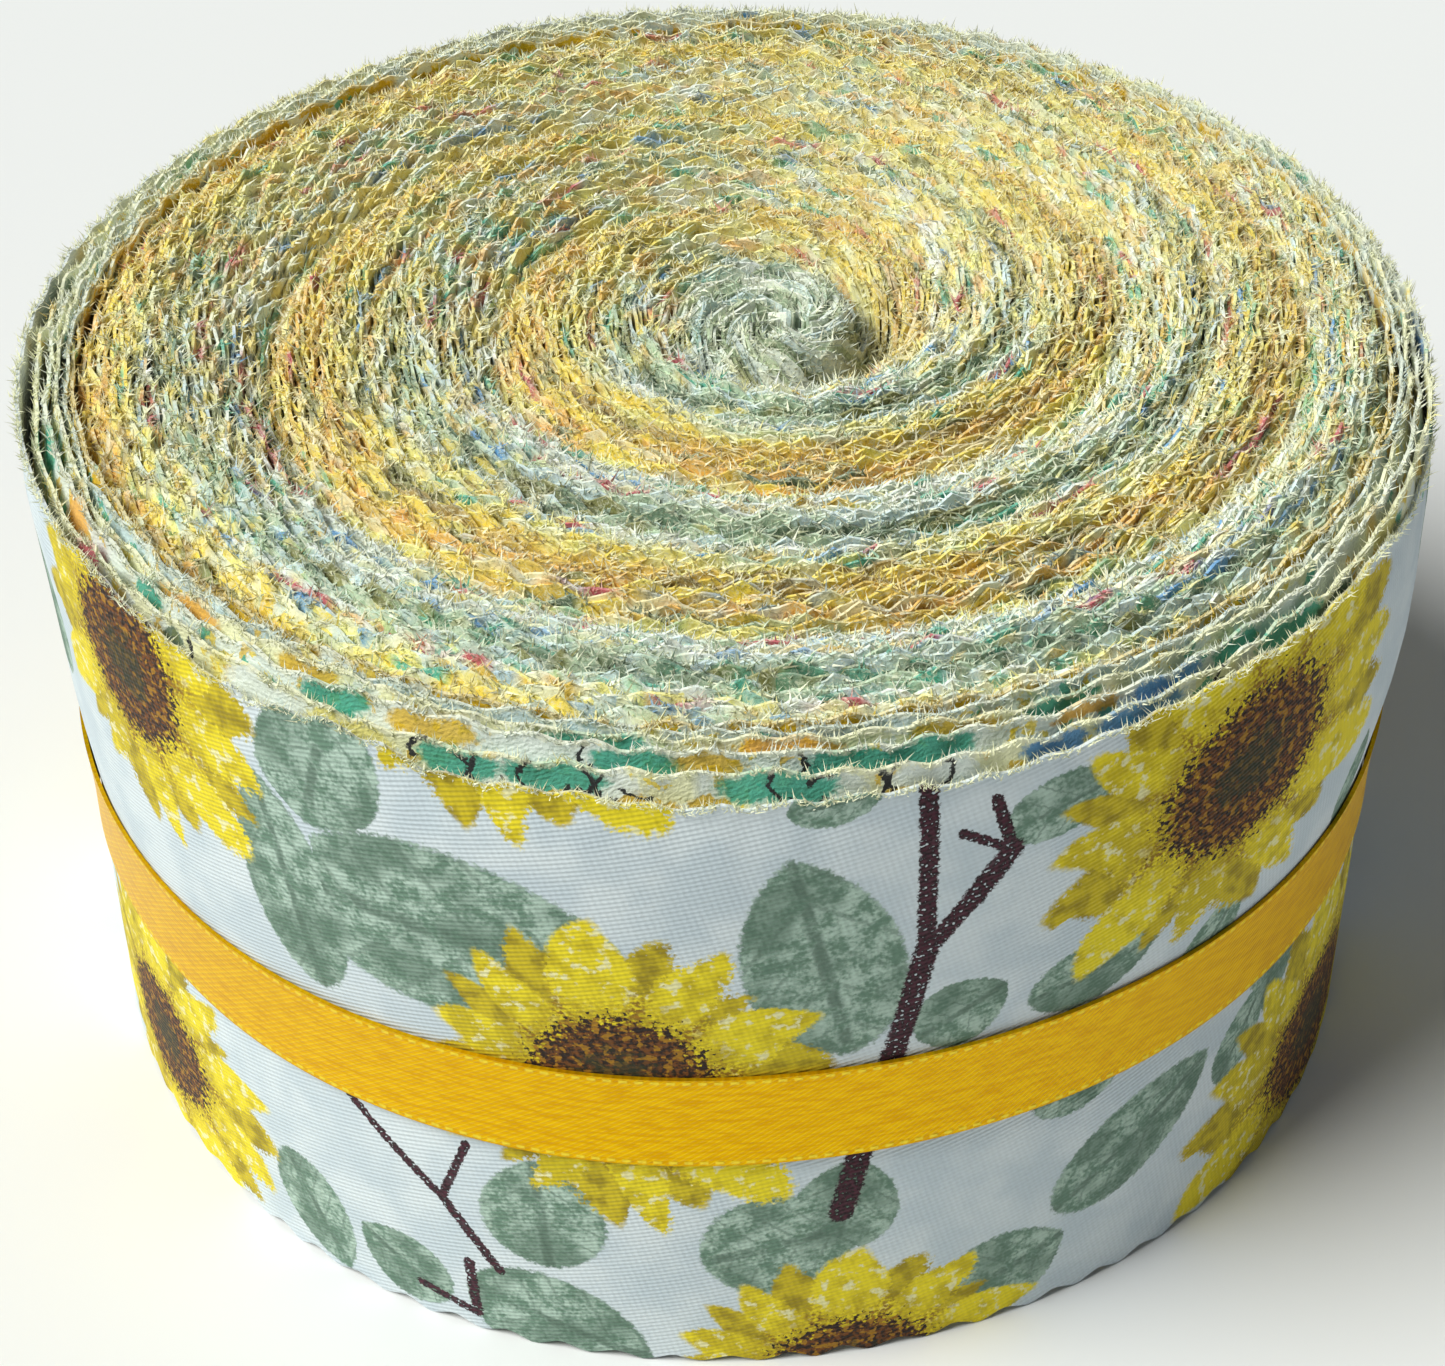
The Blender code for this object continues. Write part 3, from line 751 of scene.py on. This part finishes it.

# The cloth under the ink: fine slanting ribs and the weft between them, in the bump and as painted shade
# between the ribs with random grain, and a reverse that is nearly white.
weave_shade_and_grain = 1.0 + ribs * 0.045 + weft * 0.02 + (grain - 0.5) * 0.10
weave_shade_and_grain = weave_shade_and_grain.node("CombineXYZ", (weave_shade_and_grain, weave_shade_and_grain, weave_shade_and_grain))
print_here = start.node("VectorMath", (print_here, weave_shade_and_grain), operation="MULTIPLY")
reverse_side = start.node("Attribute", attribute_name="print")
wrong = start.node("SeparateXYZ", (reverse_side,))
print_here = (wrong * 0.7).tint(print_here, paint("E8EAE4"))
rise = ribs * 0.5 + weft * 0.2 + grain * 0.8
woven_bump = start.node("Bump", {"Height": rise, "Strength": 0.55, "Distance": 0.00008})
feed(shader, base_color=print_here, normal=woven_bump)
sunflower_strip.data.materials.append(printed_cloth)
arc_outer = arc[-1] - arc[0]


# The frayed thread ends. Cotton cut with a pinking blade lets go of the short threads at its teeth, so the
# top of the roll is covered in white and coloured lint. The threads are still caught in their strips' weave.
def thread_points(roots, runs, width):
    """Four corners a thread: three round its root, a third of a turn apart, and one at the run's end."""
    unit = runs / np.linalg.norm(runs, axis=1, keepdims=True)
    side = np.cross(unit, np.roll(unit, 1, axis=1) + 0.3)
    side *= 0.5 * width[:, None] / np.linalg.norm(side, axis=1, keepdims=True)
    other = np.cross(unit, side)
    turns = np.arange(3) * 2 * math.pi / 3
    ring = [roots + side * math.cos(turn) + other * math.sin(turn) for turn in turns]
    return np.stack([*ring, roots + runs], axis=1).reshape(-1, 3)


def thread_faces(count):
    """The four faces of each closed thread, outwards."""
    corners = np.array([[0, 2, 1], [0, 1, 3], [1, 2, 3], [2, 0, 3]])
    return (np.arange(count)[:, None, None] * 4 + corners).reshape(-1, 3)


def fray(name, edge, colours, count, seed, reach, upward, thick=1.0):
    """Threads from random places along an edge, given as runs of points: each runs the reach in millimetres,
    upward by its share and in any direction across, thickest at the root.
    """
    draw = np.random.default_rng(seed)
    run = draw.integers(0, edge.shape[0], count)
    spot = draw.integers(0, edge.shape[1] - 1, count)
    part = draw.random((count, 1))
    roots = edge[run, spot] * (1 - part) + edge[run, spot + 1] * part
    roots = roots + draw.normal(0, 0.12, (count, 3)) - [0, 0, 0.15]
    runs = draw.normal(0, 1, (count, 3))
    runs[:, 2] = np.abs(runs[:, 2]) * 0.5 + upward
    runs *= reach * draw.uniform(0.45, 1.25, (count, 1)) / np.linalg.norm(runs, axis=1, keepdims=True)
    own = colours[run, spot]
    bleach = draw.beta(1.0, 1.5, (count, 1))
    # Threads keep most of a deep strip colour, so those from the painted shade by the hollow stay near black.
    bleach = bleach * np.clip(own.mean(axis=1, keepdims=True) * 2.4, 0.15, 1.0)
    shade = own * (1 - bleach) + PAINT["thread"] * bleach
    shade = np.repeat(shade * draw.uniform(0.82, 1.06, (count, 1)), 4, axis=0)
    width = thick * draw.uniform(0.11, 0.27, count)
    made = cloth_object(name, thread_points(roots, runs, width), thread_faces(count), np.clip(shade, 0, 1))
    made.data.materials.append(cotton)
    return made


stack_shades = shades[:, :, 0]
fluff_first = fray("frayed_threads_1", section_tips, stack_shades, 47500, 51, 1.25, 0.35)
fluff_second = fray("frayed_threads_2", section_tips, stack_shades, 47500, 52, 1.1, 0.6)
fluff_rim = fray("frayed_threads_rim", wrap_edge, wrap_shades, 13000, 53, 0.95, 1.0, 0.7)
white_edge = np.broadcast_to(PAINT["cream"], outer_edge.shape)
fluff_fringe = fray("frayed_threads_fringe", outer_edge, white_edge, 5000, 54, 0.9, 0.8, 0.6)

# The ribbon: single-faced satin, 9.5 mm wide and about a third of a millimetre thick, drawn tight once round
# the middle of the roll and lapped and glued to itself behind. It holds the roll shut.
RIBBON_LAP = math.radians(22)
RIBBON_CLOTH = 0.34
columns = 420
angle = np.linspace(math.pi - RIBBON_LAP / 2, 3 * math.pi + RIBBON_LAP / 2, columns)
shares = np.array([-0.5, -0.47, -0.38, -0.2, 0.0, 0.2, 0.38, 0.47, 0.5])
arc = angle * ACROSS
edge_sway = 0.10 * wander(arc / 9, 61)[:, None]
heights = ribbon_height(angle[:, None], shares[None, :]) + edge_sway
over = 0.02 + 0.40 * smooth_step((angle - 3 * math.pi + RIBBON_LAP / 2) / math.radians(8))[:, None]
bow = 0.10 * (1 - (2 * shares[None, :]) ** 2)
outside = place(1.0, angle[:, None], heights, over + bow + RIBBON_CLOTH + 0.12)
inner = place(1.0, angle[:, None], heights, over + 0.12)
section = np.concatenate([outside[:, ::-1], inner], axis=1)
chart = np.stack(np.broadcast_arrays(
    arc[:, None], np.concatenate([shares[::-1], shares])[None, :] * RIBBON_WIDTH
), axis=-1)
satin_ribbon = cloth_object(
    "satin_band",
    section.reshape(-1, 3),
    band_faces(1, columns, section.shape[1]),
    chart=chart.reshape(-1, 2),
    sharp=40,
)
satin, shader, start = new_material("satin_ribbon", specular_ior_level=0.02, metallic=0.62)
chart_here = start.node("UVMap", uv_map="cloth")
across = start.node("SeparateXYZ", (chart_here,))
high_here = start.node("SeparateXYZ", (chart_here,), out=1)
glint = ((across - high_here * 1.4) * (2 * math.pi / 0.7)).of("SINE")
weft = (high_here * (2 * math.pi / 0.34)).of("SINE")
stretched = start.node("CombineXYZ", (across * 0.25, high_here * 1.6, 0.0))
silk = stretched.noise(1.5, 3.0)
off = high_here.of("ABSOLUTE")
selvage = off.smooth(4.15, 4.35) * off.smooth(4.62, 4.5)
satin_colour = silk.smooth(0.35, 0.65).tint((0.78, 0.40, 0.0004), (0.90, 0.51, 0.001))
# Painted glints: brighter yellow along the satin's slanting weave where the silk noise is high.
satin_colour = (glint.smooth(0.2, 1.0) * silk.smooth(0.3, 0.6) * 0.5).tint(satin_colour, (1.0, 0.74, 0.015))
stitches = selvage * (across * (2 * math.pi / 1.2)).of("SINE").smooth(-0.6, 0.3)
satin_colour = (stitches * 0.8).tint(satin_colour, (1.0, 0.80, 0.06))
satin_colour = (off.smooth(4.6, 4.75) * 0.4).tint(satin_colour, (0.45, 0.22, 0.0))
sheeny = 0.30 + silk * 0.14 + selvage * 0.1
relief = glint * 0.5 + weft * 0.2 + silk * 0.8 + stitches * 1.4
satin_bump = start.node("Bump", {"Height": relief, "Strength": 0.7, "Distance": 0.00005})
feed(shader, base_color=satin_colour, roughness=sheeny, normal=satin_bump)
satin_ribbon.data.materials.append(satin)
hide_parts("ribbon")
float(arc[-1] - arc[0]) * MM

# The floor, the light and the camera. The photo was taken from 37 degrees above, by soft daylight from the
# left.
floor_mesh = bpy.data.meshes.new("floor")
floor_mesh.from_pydata([(-3, -3, 0), (3, -3, 0), (3, 3, 0), (-3, 3, 0)], [], [(0, 1, 2, 3)])
floor = bpy.data.objects.new("floor", floor_mesh)
bpy.context.scene.collection.objects.link(floor)
pale, shader, start = new_material("pale_floor", roughness=0.9)
shader.inputs["Base Color"].default_value = (0.84, 0.85, 0.86, 1.0)
floor_mesh.materials.append(pale)

world = bpy.data.worlds.new("studio")
bpy.context.scene.world = world
world.use_nodes = True
world.node_tree.nodes["Background"].inputs["Color"].default_value = (0.90, 0.97, 1.0, 1.0)
world.node_tree.nodes["Background"].inputs["Strength"].default_value = 0.13

sun = bpy.data.lights.new("window_light", "SUN")
sun.energy = 3.65
sun.angle = math.radians(35)
sun.color = (0.99, 1.0, 0.95)
lamp = bpy.data.objects.new("window_light", sun)
bpy.context.scene.collection.objects.link(lamp)
lamp.rotation_euler = Vector((-0.59, -0.19, 0.785)).to_track_quat("Z", "Y").to_euler()

CAMERA_RISE = math.radians(37.11)
CAMERA_ROLL = math.radians(0.59)
CAMERA_AWAY = 271.2
back = np.array([0.0, -math.cos(CAMERA_RISE), math.sin(CAMERA_RISE)])
right = np.array([1.0, 0.0, 0.0])
up = np.cross(back, right)
turned_right = math.cos(CAMERA_ROLL) * right - math.sin(CAMERA_ROLL) * up
turned_up = math.sin(CAMERA_ROLL) * right + math.cos(CAMERA_ROLL) * up
seat = (np.array([0.0, 0.0, STRIP_WIDTH / 2]) + back * CAMERA_AWAY) * MM
camera = bpy.data.objects.new("camera", bpy.data.cameras.new("camera"))
bpy.context.scene.collection.objects.link(camera)
axes = np.stack([turned_right, turned_up, back, seat], axis=1)
camera.matrix_world = Matrix([*axes.tolist(), [0, 0, 0, 1]])
camera.data.lens = 74.96
camera.data.shift_x = -0.0059
camera.data.shift_y = -0.043
camera.data.clip_start = 0.01
bpy.context.scene.camera = camera
bpy.context.scene.view_settings.view_transform = "Standard"
